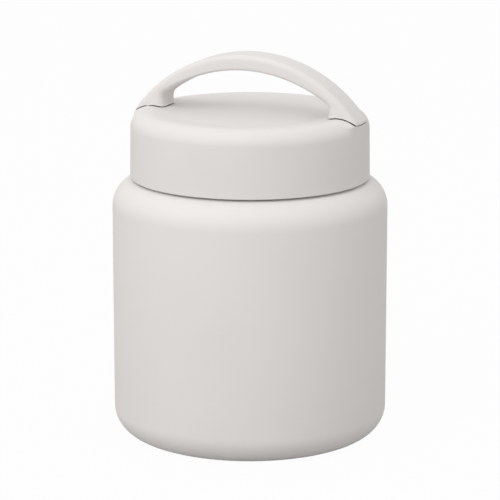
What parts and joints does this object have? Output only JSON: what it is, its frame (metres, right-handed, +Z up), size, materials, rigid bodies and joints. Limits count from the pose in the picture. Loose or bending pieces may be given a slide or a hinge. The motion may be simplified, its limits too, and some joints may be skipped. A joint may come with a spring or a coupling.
{
  "type": "insulated food jar",
  "caption": "Double-walled vacuum food jar with a rounded steel body and a screw lid that carries a fixed arched handle; the lid unscrews and lifts clear of the mouth.",
  "frame": {"origin": "centre of the base, on the surface that the jar stands on", "axes": "+Z up along the jar's axis; the handle's arch runs along X; the finger gap goes through along Y"},
  "size_m": [0.092, 0.092, 0.1291],
  "materials": {
    "coated_steel": "matte",
    "drawn_steel": "satin",
    "base_steel": "satin",
    "seal_glass": "gloss",
    "getter_alloy": "matte",
    "copper_foil": "polished",
    "lid_plastic": "matte",
    "liner_plastic": "satin",
    "silicone": "satin",
    "foam": "matte",
    "screw_steel": "satin"
  },
  "bodies": {
    "jar": {"outer_shell": "coated_steel", "inner_vessel": "drawn_steel", "shell_base": "base_steel", "port_seal": "seal_glass", "base_disc": "base_steel", "getter": "getter_alloy", "getter_strap": "base_steel", "radiation_foil": "copper_foil"},
    "seal_ring": {"lid_gasket": "silicone"},
    "lid": {"lid_cover": "lid_plastic", "handle": "lid_plastic", "handle_screws": "screw_steel", "lid_liner": "liner_plastic", "vent_valve": "silicone", "lid_insulation": "foam"}
  },
  "joints": [
    {"name": "lid_lift", "type": "slide", "parent": "jar", "child": "seal_ring", "axis": [0, 0, 1], "range_m": [0, 0.02001]},
    {"name": "lid_turn", "type": "hinge", "parent": "seal_ring", "child": "lid", "pos_m": [0, 0, 0.1], "axis": [0, 0, 1], "range_deg": [0, 900]}
  ],
  "couplings": [
    {"joint": "lid_lift", "follows": "lid_turn", "m_per_rad": 0.0012732}
  ]
}
